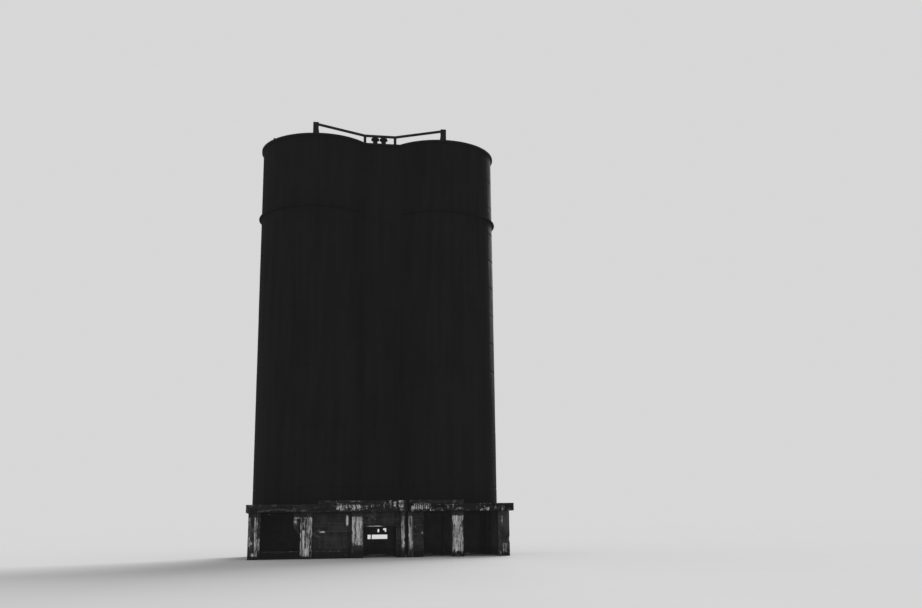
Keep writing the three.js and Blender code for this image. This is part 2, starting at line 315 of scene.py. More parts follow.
def weather(points, outward, low, high, dent=0.008, arris=0.014, chip=0.07, seed=0, scoop=None):
    """Wear a block inwards with dents, worn arrises and chips, and mark where it is broken.

    A scoop tells where a larger break moves a point, and how bare it is there."""
    moved = points.copy()
    bare = np.zeros(len(points))
    shift = Vector((seed * 7.3, seed * 3.1, seed * 5.7))
    for index, (point, side) in enumerate(zip(points, outward)):
        place = Vector(point) + shift
        rough = sum(share * noise.noise(place * scale) for scale, share in ROUGHNESS)
        spread = noise.noise(place * 0.8 + shift) + 0.4 * noise.noise(place * 4.7)
        hollow = min(HOLLOW_MOST, max(0.0, spread - HOLLOW_FROM))
        push = -side * (dent * (0.5 + 0.5 * rough) + 0.15 * hollow)
        bare[index] = hollow * 8
        for axis in range(3):
            other = (axis + 1) % 3
            if not side[axis] and not side[other]:
                continue
            gaps = []
            edge = Vector(point)
            inward = np.zeros(3)
            for number in (axis, other):
                nearer_low = point[number] - low[number] < high[number] - point[number]
                face = low[number] if nearer_low else high[number]
                gaps.append(abs(point[number] - face))
                edge[number] = face
                inward[number] = 1 if nearer_low else -1
            gap = max(gaps)
            if min(gaps) > 1e-6:
                continue
            edge += shift
            reach = arris * (1 + noise.noise(edge * 4.3))
            reach += chip * max(0.0, noise.noise(edge * 2.3) - 0.15) * 3
            if gap < reach:
                push = push + inward * (reach - gap) / 2
                bare[index] = max(bare[index], min(1.0, (reach - gap) * 25))
        moved[index] = point + push
        if scoop is not None:
            place_in, mark = scoop(point, side)
            if mark:
                moved[index] = place_in + push * 0.4
                bare[index] = mark
    return np.clip(moved, low, high), bare


def put_together(name, points, quads, finish, slot, nodes=(), crease=38, **marks):
    """Make a piece that stands for its CAD nodes. Marks are values for its finish."""
    mesh = bpy.data.meshes.new(name)
    mesh.from_pydata(np.asarray(points).tolist(), [], [list(quad) for quad in quads])
    for mark, values in marks.items():
        mesh.attributes.new(mark, "FLOAT", "POINT").data.foreach_set("value", values)
    return adopt(new_object(name, mesh), finish, nodes, crease)


def adopt(piece, finish, nodes=(), crease=38):
    """Finish a mesh object as a piece of the silo."""
    mesh = piece.data
    mesh.name = piece.name
    mesh.materials.clear()
    mesh.materials.append(finish)
    mesh.polygons.foreach_set("use_smooth", [True] * len(mesh.polygons))
    mesh.set_sharp_from_angle(angle=math.radians(crease))
    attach(piece, "root")
    if nodes:
        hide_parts(*nodes)
    return piece


def concrete_finish(name, tones, reach, course=None, upright=True):
    """Stained concrete. Its two marks say where wash and open breaks show, and a few wash marks stand
    for painted light. Reach says how far the strokes of the wash run upwards: 1 for round flakes,
    less for long streaks."""
    material, place = open_finish(name)
    lime = place.node("ShaderNodeAttribute", out="Fac", attribute_name="lime")
    bare = place.node("ShaderNodeAttribute", out="Fac", attribute_name="bare")
    mottle = place.clouds(1.1, 6, 0.65)
    grain = place.clouds(38, 3, 0.7)
    runs = place.stretched(1, 1, 0.11).clouds(5.5, 5, 0.6, 0.25)
    boards = place.stretched(1, 1, 0.02) if upright else place.stretched(0.05, 0.05, 1)
    board = boards.clouds(1 / BOARD_WIDTH, 1, 0.4)
    body = (0.45 * mottle + 0.35 * runs + 0.2 * board).fade(0.38, 0.62)
    colour = blend(body, *tones)
    relief = 0.55 * board + 0.25 * grain + 0.2 * mottle
    if course:
        height = place.axis(2) / course
        seam = 1 - height.off_whole().fade(*SEAM_LINE)
        colour = blend(seam * 0.45, colour, tones[0] * 0.45)
        relief = relief - 0.6 * seam
    damp = 1 - (place.axis(2) + 0.5 * mottle).fade(*DAMP_HEIGHT)
    colour = blend(damp * 0.8, colour, tones[0] * 0.4)
    stones = place.pebbles(24.0)
    fresh = blend(stones.fade(0.1, 0.55), BREAK_TONE, BREAK_TONE * 0.35)
    flake = place.clouds(13, 4, 0.7)
    open_break = (bare + 0.9 * flake).fade(0.62, 0.85) * bare.fade(0.05, 0.3)
    colour = blend(open_break * 0.7, colour, fresh)
    relief = relief - 1.2 * open_break * stones.fade(0.0, 0.5)
    upward = place.stretched(1, 1, reach)
    streak = 0.6 * upward.clouds(8, 4, 0.7, 0.5) + 0.4 * upward.clouds(21, 3, 0.7)
    cover = 1.4 * streak + 0.4 * flake - 0.4
    wash = (cover + 0.45 * lime).fade(0.7, 0.88) * lime.fade(0.02, 0.12)
    thin = (0.8 * place.stretched(1, 1, 1.3 * reach).clouds(9, 4, 0.75) + 0.2 * grain).fade(0.38, 0.62)
    colour = blend(wash, colour, blend(thin + lime.fade(1.0, 1.5), *WASH_TONES))
    relief = relief + 0.3 * wash
    close_finish(place, colour, 0.95, relief, 0.012, 0.05)
    return material


def stroke_wash(pier, points, low, turned):
    """Whitewash at points on the long side of a pier, turned round end for end at the rear."""
    across = points[:, 0] - low[0]
    if turned:
        across = points[:, 0].max() - points[:, 0]
    wash = np.full(len(points), BASE_WASH[pier])
    for left, right, foot, head, strength in STROKES[pier]:
        reach = np.abs(across - (left + right) / 2) / ((right - left) / 2)
        ends = np.clip((points[:, 2] - foot) / STROKE_FADE, 0, 1)
        ends = ends * np.clip((head - points[:, 2]) / STROKE_FADE, 0, 1)
        wash = np.maximum(wash, strength * np.clip(STROKE_SPREAD - reach, 0, 1) * ends)
    return wash


pier_finish = concrete_finish("limewashed_pier", PIER_TONES, STREAK_REACH)
for seed, (row, pier) in enumerate(product(ROWS, PIERS), 1):
    node = f"pier_{row}_{pier}"
    low, high = corners(node)
    spacings = (PIER_GRID if row == "middle" else STROKE_GRID, PIER_GRID, PIER_GRID)
    points, outward, quads = block_skin(block_lines(low, high, *spacings))
    moved, bare = weather(points, outward, low, high, chip=0.09, seed=seed)
    lime = np.full(len(points), INNER_WASH)
    if row != "middle":
        outer = outward[:, 1] != 0
        lime[outer] = stroke_wash(pier, points, low, row == "rear")[outer]
    fade_in = np.interp(points[:, 2] - WASH_FOOT[pier], FOOT_FADE, (0, 1))
    # Painted shade: no wash at the head of the pier, under the deck.
    fade_out = np.clip((WASH_HEAD - points[:, 2]) / HEAD_FADE, 0, 1)
    lime *= fade_in * fade_out * (1 - 0.6 * np.minimum(bare, 1))
    put_together(f"column_{row}_{pier}", moved, quads, pier_finish, "pier_concrete", [node],
                 lime=lime, bare=bare)

# Deck. Two slabs of reinforced concrete that meet at a joint over the fourth piers, with a low
# curb on the front edge. Frost and rust have broken the edge and laid its bars open.
DECK_GRID = 0.035
DECK_EDGE_GRID = 0.05
DECK_RISE_GRID = 0.045
DECK_EDGE_DEPTH = 0.5
DECK_MIDDLE_LINES = 37
DECK_TONES = (0.007, 0.026)
DAMP_DECK_TONES = (0.003, 0.013)
JOINT_SLOT = 0.11
SLOT_END = 4.64
BROKEN_ARRIS = [(-8.9, 3.26), (-8.6, 3.29), (-8.0, 3.33), (-7.5, 3.4), (-7.1, 3.38), (-6.8, 3.3),
                (-6.5, 3.32), (-6.2, 3.26)]
BREAK_BACK = 0.3
BREAK_WAVER = 0.025
BREAK_LEAST = 0.02
SCOOP_BARE = 0.2
ARRIS_BAND = 0.08
ARRIS_DEPTH = 0.05
BREAK_BARE = 0.34
# Lime blooms on the front edge and its curb: left, right, foot, head, strength.
BLOOMS = [(-9.73, -9.66, 3.4, 3.75, 0.6), (-6.5, -5.87, 3.4, 3.76, 0.36), (-5.86, -5.45, 3.33, 3.43, 0.55),
          (-3.31, -3.13, 3.45, 3.83, 1.3), (-3.1, -2.88, 3.37, 3.83, 1.1), (-2.81, -2.52, 3.55, 3.83, 1.0),
          (-2.81, -2.52, 3.34, 3.55, 0.7), (-2.45, -2.24, 3.58, 3.77, 0.8), (-2.45, -2.24, 3.33, 3.47, 0.6),
          (-2.24, -2.02, 3.4, 3.77, 0.85), (-1.95, -1.63, 3.37, 3.77, 0.78), (-1.63, -1.44, 3.4, 3.7, 0.6),
          (-1.37, -1.09, 3.48, 3.77, 0.5), (-0.87, -0.65, 3.6, 3.76, 0.5), (-0.44, -0.22, 3.6, 3.76, 0.5),
          (-0.07, 0.15, 3.47, 4.05, 0.5), (0.2, 0.26, 3.8, 4.05, 0.55), (0.44, 0.62, 3.55, 4.05, 0.75),
          (0.8, 0.96, 3.65, 3.95, 1.0), (0.87, 1.02, 3.45, 3.55, 0.6), (1.17, 1.5, 3.6, 4.05, 0.85),
          (1.25, 1.5, 3.3, 3.6, 0.6), (2.05, 2.27, 3.26, 3.68, 0.7), (2.27, 3.45, 3.47, 3.83, 1.15),
          (2.27, 3.5, 3.33, 3.44, 0.55), (3.45, 3.9, 3.31, 3.4, 0.62), (3.95, 4.55, 3.3, 3.52, 0.45),
          (4.63, 4.92, 3.4, 3.6, 0.5), (5.0, 5.37, 3.33, 3.8, 0.4), (5.36, 5.97, 3.37, 3.5, 0.5),
          (6.87, 7.06, 3.43, 3.58, 0.5), (7.17, 7.7, 3.3, 3.46, 0.55), (7.66, 7.89, 3.32, 3.54, 0.72),
          (8.23, 9.0, 3.26, 3.6, 0.52), (8.28, 8.36, 3.45, 3.56, 1.0), (8.8, 8.88, 3.26, 3.45, 0.9),
          (-3.4, -2.8, 3.85, 4.09, 0.35), (-2.3, -1.66, 4.0, 4.05, 0.7), (7.0, 9.5, 3.78, 3.83, 0.4),
          (3.5, 5.9, 3.72, 3.76, 0.5), (3.5, 5.9, 3.5, 3.55, 0.46), (7.0, 8.3, 3.5, 3.65, 0.34),
          (-9.73, -9.4, 3.3, 3.8, 0.3)]
BLOOM_EDGE = 0.05
BLOOM_DEPTH = 0.15
BLOOM_SHARE = 0.88
BLOOM_BULGE = 0.03
FLAKE_REACH = 0.4
# Stretches where the cover has come off the bars: from x, to x, first stirrup, pitch.
BARED = [(2.3, 3.47, 2.378, 0.147), (8.25, 8.98, 8.32, 0.15), (-3.28, -2.5, -3.14, 0.2)]
# Darker stripes in the wash at each bared stirrup: rust stain and painted shade around the bars.
STAIN_AND_SHADE_HALF = 0.05
STAIN_AND_SHADE_SHARE = 0.35
BAR_SEED = 1
BAR_POINTS = 5
BAR_SIDES = 8
STIRRUP_RADIUS = 0.009
STIRRUP_COVER = 0.016
STIRRUP_BEND = 0.008
STIRRUP_ENDS = (3.3, 3.81)
LONG_BARS = (3.36, 3.74)
LONG_BAR_RADIUS = 0.012
LONG_BAR_COVER = 0.036
LONG_BAR_BEND = 0.006
RUST_TONES = (0.01, 0.035)
SIDES = {"left": -1, "right": 1}

deck_low, deck_high = corners("deck_left")
front_y = deck_low[1]
rear_y = deck_high[1]
underside = deck_low[2]


def bloom_at(points):
    """How strongly lime shows on the front edge, and the same pattern turned round on the rear."""
    x, y, z = points.T
    strength = np.zeros(len(points))
    for left, right_end, foot, head, most in BLOOMS:
        for edge_y, turned in ((front_y, 1), (rear_y, -1)):
            beyond_x = np.abs(x - turned * (left + right_end) / 2) - (right_end - left) / 2
            beyond_z = np.abs(z - (foot + head) / 2) - (head - foot) / 2
            inside = np.clip(1 - np.maximum(beyond_x, beyond_z) / BLOOM_EDGE, 0, 1)
            on_edge = np.clip(1 - np.abs(y - edge_y) / BLOOM_DEPTH, 0, 1)
            strength = np.maximum(strength, most * inside * on_edge)
    # Rust stain and painted shade at each bared stirrup.
    for start, end, first, pitch in BARED:
        inside = (x > start - STAIN_AND_SHADE_HALF) & (x < end) & (y < 0)
        off = np.abs(np.mod(x - first + pitch / 2, pitch) - pitch / 2)
        strength = np.where(inside, strength * np.clip(off / STAIN_AND_SHADE_HALF, STAIN_AND_SHADE_SHARE, 1), strength)
    return strength * BLOOM_SHARE


def along_break(points):
    """1 on the strip of bare concrete above the broken arris."""
    x, y, z = points.T
    above = z - np.interp(x, *zip(*BROKEN_ARRIS))
    ends = (x > BROKEN_ARRIS[0][0]) & (x < BROKEN_ARRIS[-1][0])
    on_edge = np.abs(y - front_y) < ARRIS_DEPTH
    return (np.abs(above - ARRIS_BAND) < ARRIS_BAND) & ends & on_edge


def deck_scoop(point, side):
    """The long break in the lower front arris of the first bay, square at the back."""
    height = float(np.interp(point[0], *zip(*BROKEN_ARRIS))) - underside
    height += BREAK_WAVER * noise.noise(Vector((point[0] * 3.1, 0, 0)))
    if height < BREAK_LEAST:
        return point, 0
    above = point[2] - underside
    back = point[1] - front_y
    if side[1] < 0 and above < height:
        turn = 0.5 * (1 - above / height)
    elif side[2] < 0 and back < BREAK_BACK:
        turn = 0.5 + 0.5 * back / BREAK_BACK
    else:
        return point, 0
    swing = turn * math.pi / 2
    place = np.array([point[0], front_y + BREAK_BACK * math.sqrt(math.sin(swing)),
                      underside + height * math.sqrt(max(0, math.cos(swing)))])
    return place, SCOOP_BARE


def open_recipe(name, **inputs):
    """A Geometry Nodes tree with named inputs, and a wire for each input."""
    tree = bpy.data.node_groups.new(name, "GeometryNodeTree")
    tree.interface.new_socket("Start", in_out="INPUT", socket_type="NodeSocketGeometry")
    for label, kind in inputs.items():
        tree.interface.new_socket(label, in_out="INPUT", socket_type="NodeSocket" + kind)
    tree.interface.new_socket("Result", in_out="OUTPUT", socket_type="NodeSocketGeometry")
    entry = tree.nodes.new("NodeGroupInput")
    return tree, {socket.name: Wire(tree, socket) for socket in entry.outputs if socket.name}


def close_recipe(tree, geometry, material):
    """End a tree in realized instances with their material."""
    realized = geometry.node("GeometryNodeRealizeInstances", {0: geometry})
    painted = geometry.node("GeometryNodeSetMaterial", {"Geometry": realized, "Material": material})
    tree.links.new(painted.socket, tree.nodes.new("NodeGroupOutput").inputs[0])


def cook(name, tree, settings, points=(), edges=()):
    """Run a recipe on an object and keep the result as its plain mesh."""
    start = bpy.data.meshes.new(name)
    start.from_pydata(list(points), list(edges), [])
    piece = new_object(name, start)
    modifier = piece.modifiers.new("recipe", "NODES")
    modifier.node_group = tree
    for item in tree.interface.items_tree:
        if item.name in settings:
            modifier[item.identifier] = settings[item.name]
    graph = bpy.context.evaluated_depsgraph_get()
    mesh = bpy.data.meshes.new_from_object(piece.evaluated_get(graph), depsgraph=graph)
    piece.modifiers.clear()
    piece.data = mesh
    return piece


deck_finish = concrete_finish("weathered_deck", DECK_TONES, FLAKE_REACH, upright=False)
damp_finish = concrete_finish("damp_deck", DAMP_DECK_TONES, FLAKE_REACH, upright=False)
slab_finish = {"left": deck_finish, "right": damp_finish}
joint_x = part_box("deck_right")[0][0]
for seed, (side, facing) in enumerate(SIDES.items(), 31):
    node = f"deck_{side}"
    low, high = corners(node)
    notch = joint_x + facing * JOINT_SLOT
    x_lines = grid_lines(low[0], notch, high[0], spacing=DECK_GRID)
    edge = grid_lines(low[1], -SLOT_END, low[1] + DECK_EDGE_DEPTH, spacing=DECK_EDGE_GRID)
    middle_lines = np.linspace(edge[-1], -edge[-1], DECK_MIDDLE_LINES)[1:-1]
    y_lines = np.concatenate([edge, middle_lines, -edge[::-1]])
    z_lines = grid_lines(low[2], high[2], spacing=DECK_RISE_GRID)
    span = sorted((notch, joint_x - facing * JOINT_SLOT * 0.99))
    hollows = [((span[0], y, low[2] - 1), (span[1], y + 1, high[2] + 1))
               for y in (-SLOT_END - 1, SLOT_END)]
    points, outward, quads = block_skin([x_lines, y_lines, z_lines], hollows)
    moved, bare = weather(points, outward, low, high, dent=0.012, chip=0.12, seed=seed, scoop=deck_scoop)
    lime = bloom_at(points)
    on_front = (outward[:, 1] < 0) & (np.abs(points[:, 1] - front_y) < 0.01)
    moved[:, 1] += np.where(on_front, BLOOM_BULGE * lime, 0)
    bare *= np.abs(points[:, 1]) > -edge[-1]
    bare = np.maximum(np.maximum(bare, lime * 0.3), BREAK_BARE * along_break(points))
    put_together(f"slab_{side}", moved, quads, slab_finish[side], "deck_concrete", [node],
                 lime=lime, bare=bare)
    node = f"deck_curb_{side}"
    low, high = corners(node)
    points, outward, quads = block_skin(block_lines(low, high, *[DECK_GRID] * 3))
    moved, bare = weather(points, outward, low, high, seed=seed + 5)
    lime = bloom_at(points)
    put_together(f"curb_{side}", moved, quads, deck_finish, "deck_concrete", [node],
                 lime=lime, bare=bare)

rust, place = open_finish("rusted_bar")
scales = (0.6 * place.clouds(22, 4, 0.7) + 0.4 * place.clouds(90, 3, 0.7)).fade(0.35, 0.65)
close_finish(place, blend(scales, *RUST_TONES), 0.9, scales, 0.002, 0.1)
bars, wires = open_recipe("bars", Radius="Float", Sides="Int", Finish="Material")
line = wires["Start"].node("GeometryNodeMeshToCurve", {"Mesh": wires["Start"]})
ring = line.node("GeometryNodeCurvePrimitiveCircle",
                 {"Resolution": wires["Sides"], "Radius": wires["Radius"]})
rod = line.node("GeometryNodeCurveToMesh",
                {"Curve": line, "Profile Curve": ring, "Fill Caps": True})
close_recipe(bars, rod, wires["Finish"])
noise.seed_set(BAR_SEED)
stirrups = []
long_bars = []
for start, end, first, pitch in BARED:
    for x in np.arange(first, end, pitch):
        for height in np.linspace(*STIRRUP_ENDS, BAR_POINTS):
            bend = noise.noise_vector(Vector((x, 0, height)) * 3) * STIRRUP_BEND
            stirrups.append((x + bend.x, front_y + STIRRUP_COVER + bend.y, height))
    for height in LONG_BARS:
        for x in np.linspace(start - STAIN_AND_SHADE_HALF, end + STAIN_AND_SHADE_HALF, BAR_POINTS):
            bend = noise.noise_vector(Vector((x, 9, height)) * 3) * LONG_BAR_BEND
            long_bars.append((x, front_y + LONG_BAR_COVER + bend.y, height + bend.z))
bar_sets = (("stirrups", stirrups, STIRRUP_RADIUS), ("long_bars", long_bars, LONG_BAR_RADIUS))
for name, points, radius in bar_sets:
    edges = [(number, number + 1) for number in range(len(points) - 1) if (number + 1) % BAR_POINTS]
    settings = {"Radius": radius, "Sides": BAR_SIDES, "Finish": rust}
    adopt(cook(f"bared_{name}", bars, settings, points, edges), rust)

# Walls between the piers. Courses of rendered block on a low plinth, the front ones very dark, with a
# passage in the third bay. The rear wall behind it has two slots and two small holes.
WALL_GRID = 0.09
WALL_REACH = 0.5
FRONT_WALLS_BEFORE = -4
COURSE = 0.2
MARK_SPREAD = 1.6
PLINTH_EDGE = (0.5, 0.03)
WALL_TONES = (0.01, 0.048)
REAR_TONES = (0.1, 0.18)
WALL_NODES = ("wall_bay_2", "lintel_bay_3", "jamb_bay_3", "stub_wall_bay_4", "end_wall_left_front",
              "end_wall_left_rear", "end_wall_right_front", "end_wall_right_rear", "rear_wall_right",
              "plinth_bay_1", "plinth_bay_2", "plinth_bay_4", "rear_wall_left")
# Pale marks on the front walls: middle x, middle z, half width, half height, strength. The two at
# z 2.235 are a painted highlight along the lower edge of the lintel.
WALL_MARKS = [(-4.31, 1.87, 0.2, 0.07, 1.4), (-2.53, 2.7, 0.1, 0.38, 1.5), (2.9, 1.72, 0.07, 0.09, 0.75),
              (-0.52, 2.235, 0.6, 0.045, 1.2), (-0.42, 2.235, 0.15, 0.05, 1.5),
              (2.42, 1.9, 0.16, 1.1, 0.3), (2.9, 1.75, 0.12, 0.12, 0.5)]
# Openings in the rear wall: left, right, sill, head.
REAR_OPENINGS = [(-0.36, -0.11, 1.24, 1.57), (-0.02, 1.24, 1.24, 1.57), (0.44, 0.58, 1.78, 2.01),
                 (0.9, 1.15, 1.93, 2.07), (1.03, 1.15, 1.8, 1.93)]

wall_finish = concrete_finish("block_wall", WALL_TONES, WALL_REACH, COURSE, upright=False)
rear_finish = concrete_finish("rear_block_wall", REAR_TONES, WALL_REACH, COURSE, upright=False)
for seed, node in enumerate(WALL_NODES, 51):
    low, high = corners(node)
    stops = [list(ends) for ends in zip(low, high)]
    hollows = []
    if node == "rear_wall_left":
        for left, right_end, sill, head in REAR_OPENINGS:
            stops[0] += [left, right_end]
            stops[2] += [sill, head]
            hollows.append(((left, low[1] - 1, sill), (right_end, high[1] + 1, head)))
    lines = [grid_lines(*sorted(set(along)), spacing=WALL_GRID) for along in stops]
    points, outward, quads = block_skin(lines, hollows)
    moved, bare = weather(points, outward, low, high, dent=0.01, chip=0.05, seed=seed)
    lime = np.zeros(len(points))
    if low[1] < FRONT_WALLS_BEFORE:
        for x, z, half_width, half_height, most in WALL_MARKS:
            reach = ((points[:, 0] - x) / half_width) ** 2 + ((points[:, 2] - z) / half_height) ** 2
            lime = np.maximum(lime, most * np.clip(MARK_SPREAD - reach, 0, 1))
        if node.startswith("plinth"):
            lime = np.maximum(lime, PLINTH_EDGE[0] * (points[:, 2] > high[2] - PLINTH_EDGE[1]))
    finish = rear_finish if node.startswith(("rear", "end")) else wall_finish
    put_together(f"masonry_{node}", moved, quads, finish, "wall_concrete", [node],
                 lime=lime, bare=bare)

# Remnant. The top corner of a wall that was pulled down, still keyed into the deck and the second
# pier, broken to a slope and pale where the render has come off.
REMNANT_GRID = 0.05
REMNANT_SHOULDER = 1.0
REMNANT_TIP = 0.03
REMNANT_RAGGED = 0.05
PALE_SIDE = 0.62
PALE_SIDE_FOOT = (2.25, 2.45)
PALE_HEAD_FOOT = (2.76, 2.84)
# Above this the pale marks stop, and the dark strip left under the deck is painted shade.
PALE_HEAD_END = (2.93, 2.98)
low, high = corners("wall_remnant_bay_1")
points, outward, quads = block_skin(block_lines(low, high, *[REMNANT_GRID] * 3))
shoulder = high[2] - REMNANT_SHOULDER
drop = np.clip((shoulder - points[:, 2]) / (shoulder - low[2]), 0, 1)
width = np.maximum((high[0] - low[0]) * (1 - drop), REMNANT_TIP)
moved, bare = weather(points, outward, low, high, chip=0.08, seed=77)
share = (high[0] - moved[:, 0]) / (high[0] - low[0])
moved[:, 0] = high[0] - share * width
ragged = np.array([noise.noise(Vector(point) * 5) for point in points])
moved[:, 0] = np.clip(moved[:, 0] + REMNANT_RAGGED * ragged * share, low[0], high[0])
outer_part = np.clip((share - 0.35) / 0.2, 0, 1)
pale_side = PALE_SIDE * outer_part * np.interp(points[:, 2], PALE_SIDE_FOOT, (0, 1))
pale_head = np.interp(points[:, 2], PALE_HEAD_FOOT, (0, 1))
lime = np.maximum(pale_side, pale_head) * np.interp(points[:, 2], PALE_HEAD_END, (1, 0))
put_together("broken_wall_corner", moved, quads, wall_finish, "wall_concrete", ["wall_remnant_bay_1"],
             lime=lime, bare=np.maximum(bare, 0.3 * share))

# Bins. Two reinforced concrete cylinders cast with climbing forms, in twelve lifts on a short
# starter lift, and coated with black tar. A groove marks each lift joint. A pale band of painted
# light runs down the right hand end, where the soft light grazes the bins.
LIFTS = 12
LIFT_HEIGHT = 2.27
FIRST_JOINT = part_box("shell_left")[1][2] - LIFTS * LIFT_HEIGHT
ROWS_PER_LIFT = 9
JOINT_HEIGHT = 0.07
JOINT_DEPTH = 0.018
SHELL_WALL = 0.18
FORM_MISFIT = 0.008
BULGE = 0.012
ROUND_STEPS = 192
WELD = 0.0004
TAR_TONES = (0.0055, 0.009)
# The pale band on the right hand end is painted light for the soft light that grazes it. It fades out
# towards the foot as painted shadow, and is weaker near the top.
LIT_END_TONE = 0.14
LIT_END_FROM_X = 8.68
LIT_END_TO_X = 9.4
LIT_END_RAGGED = 2.2
# Painted shade: a strip of darker tar just left of the pale band.
SHADE_BESIDE_LIT_END = (7.2, 8.6)
LIT_END_RISE = (5.0, 28.0)
LIT_END_HEAD = (28.5, 31.5)
# Painted shadow of the ledge: the pale band is held back just under and around it.
LEDGE_SHADOW_FOOT = (25.9, 26.15)
LEDGE_SHADOW_HEAD = (26.7, 26.85)
JOINT_LINE = (0.03, 0.12)
JOINT_LIP_DROP = 0.2


def shell_recipe():
    """A closed tube in lifts: each column of points goes up the outside and down the inside."""
    sizes = dict.fromkeys(("Axis", "Radius", "Wall", "Foot", "Starter", "Lift", "JointHeight",
                           "JointDepth", "Misfit", "Bulge"), "Float")
    counts = dict.fromkeys(("Lifts", "Rows", "Steps", "Seed"), "Int")
    tree, wires = open_recipe("shell_in_lifts", **sizes, **counts, Coat="Material")
    outer = (wires["Lifts"] + 1) * wires["Rows"] + 1
    column_length = outer + 3
    grid = {"Vertices X": wires["Steps"] + 1, "Vertices Y": column_length}
    sheet = wires["Start"].node("GeometryNodeMeshGrid", grid)
    index = sheet.node("GeometryNodeInputIndex")
    column = index.maths("FLOOR", (index + 0.5) / column_length)
    row = index - column * column_length
    row = row * row.maths("LESS_THAN", row, outer + 1.5)
    angle = column / wires["Steps"] * math.tau
    lift = row.maths("FLOOR", (row + 0.5) / wires["Rows"])
    step = row - lift * wires["Rows"]
    fine = step.maths("MINIMUM", step, 3.0) * wires["JointHeight"] / 3
    above_joint = wires["Lift"] - wires["JointHeight"]
    coarse = step.maths("MAXIMUM", step - 3, 0.0) * above_joint / (wires["Rows"] - 3)
    inside = row.maths("GREATER_THAN", row, outer - 0.5)
    at_top = row.maths("LESS_THAN", row, outer + 0.5)
    starting = lift.maths("LESS_THAN", lift, 0.5)
    above = wires["Starter"] + (lift - 1) * wires["Lift"] + fine + coarse
    rise = starting * (wires["Starter"] * step / wires["Rows"]) + (1 - starting) * above
    full = (wires["Starter"] + wires["Lifts"] * wires["Lift"]) * at_top
    height = wires["Foot"] + (1 - inside) * rise + inside * full
    groove = step.maths("GREATER_THAN", step, 0.5) * step.maths("LESS_THAN", step, 2.5)
    groove = groove * (1 - starting)
    misfit = step.node("FunctionNodeRandomValue",
                       {2: -1.0, 3: 0.0, "ID": lift, "Seed": wires["Seed"]}, out=1, data_type="FLOAT")
    outside = wires["Radius"] + misfit * wires["Misfit"] - groove * wires["JointDepth"]
    plain = wires["Radius"] - wires["Wall"]
    cosine = angle.maths("COSINE", angle)
    sine = angle.maths("SINE", angle)
    around = {0: cosine * 4, 1: sine * 4, 2: height + wires["Seed"] * 9}
    swell = height.node("ShaderNodeCombineXYZ", around).clouds(0.4, 3) * -1 * wires["Bulge"]
    radius = (1 - inside) * (outside + swell) + inside * plain
    spot = {0: wires["Axis"] + radius * cosine, 1: radius * sine, 2: height}
    place = height.node("ShaderNodeCombineXYZ", spot)
    tube = sheet.node("GeometryNodeSetPosition", {"Geometry": sheet, "Position": place})
    tube = tube.node("GeometryNodeMergeByDistance", {"Geometry": tube, "Distance": WELD})
    close_recipe(tree, tube, wires["Coat"])
    return tree


def joint_line(height, drop=0.0):
    """1 in a line that runs drop metres below each lift joint, and 0 away from it."""
    lifts = (height - (FIRST_JOINT + JOINT_HEIGHT / 2 - drop)) / LIFT_HEIGHT
    return 1 - (lifts.off_whole() * LIFT_HEIGHT).fade(*JOINT_LINE)


def tar_finish(name, tones, worn):
    """Black tar brushed on in upright strips, in runs, with lift joints and a few dusty patches. When
    worn is set, the right hand end gets a pale band of painted light, with painted shade beside it
    and a painted shadow of the ledge across it.
    """
    material, place = open_finish(name)
    height = place.axis(2)
    runs = place.stretched(1, 1, 0.06).clouds(2.1, 5, 0.6, 0.2)
    mottle = place.stretched(1, 1, 0.5).clouds(0.5, 5, 0.6)
    grain = place.clouds(30, 3, 0.7)
    colour = blend((0.5 * runs + 0.35 * mottle + 0.15 * grain).fade(0.38, 0.6), *tones)
    relief = 0.4 * grain + 0.35 * runs + 0.25 * mottle
    if worn:
        # Painted shade beside the pale band.
        colour = blend(0.5 * place.axis(0).fade(*SHADE_BESIDE_LIT_END), colour, tones[0] * 0.3)
        # Painted light: a ragged pale band on the right hand end, fading out towards the foot as painted
        # shadow, with lighter lines below the lift joints.
        patches = place.stretched(1, 1, 0.35).clouds(1.3, 6, 0.7)
        ragged = place.axis(0) + LIT_END_RAGGED * (0.5 * runs + 0.5 * patches - 0.5)
        end = ragged.fade(LIT_END_FROM_X, LIT_END_TO_X)
        high_up = (0.08 + 0.92 * height.fade(*LIT_END_RISE)) * (1 - 0.5 * height.fade(*LIT_END_HEAD))
        lit_patchiness = (0.55 * runs + 0.45 * place.stretched(1, 1, 0.3).clouds(3.2, 6, 0.7)).fade(0.3, 0.62)
        # Painted shadow of the ledge across the pale band.
        at_ledge = height.fade(*LEDGE_SHADOW_FOOT) * (1 - height.fade(*LEDGE_SHADOW_HEAD))
        joint = joint_line(height) * (0.45 + 0.55 * mottle.fade(0.42, 0.56))
        lip = joint_line(height, JOINT_LIP_DROP)
        lit_amount = end * high_up * (0.4 + 0.6 * lit_patchiness + 0.35 * lip)
        lit_amount = lit_amount * (1 - 0.8 * at_ledge) * (1 - 0.9 * joint)
        colour = blend(lit_amount, colour, LIT_END_TONE)
        relief = relief - 0.3 * lit_amount * lit_patchiness - 0.3 * joint
    close_finish(place, colour, 0.8, relief, 0.01, 0.015)
    return material


tar = tar_finish("tarred_shell", TAR_TONES, worn=True)
recipe = shell_recipe()
for seed, side in enumerate(SIDES, 3):
    node = f"shell_{side}"
    low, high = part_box(node)
    settings = {"Axis": (high[0] + low[0]) / 2, "Radius": (high[0] - low[0]) / 2, "Wall": SHELL_WALL,
                "Foot": low[2], "Starter": FIRST_JOINT - low[2], "Lift": LIFT_HEIGHT, "Lifts": LIFTS,
                "Rows": ROWS_PER_LIFT, "JointHeight": JOINT_HEIGHT, "JointDepth": JOINT_DEPTH,
                "Misfit": FORM_MISFIT, "Bulge": BULGE, "Steps": ROUND_STEPS, "Seed": seed, "Coat": tar}
    adopt(cook(f"bin_{side}", recipe, settings), tar, [node], crease=25)

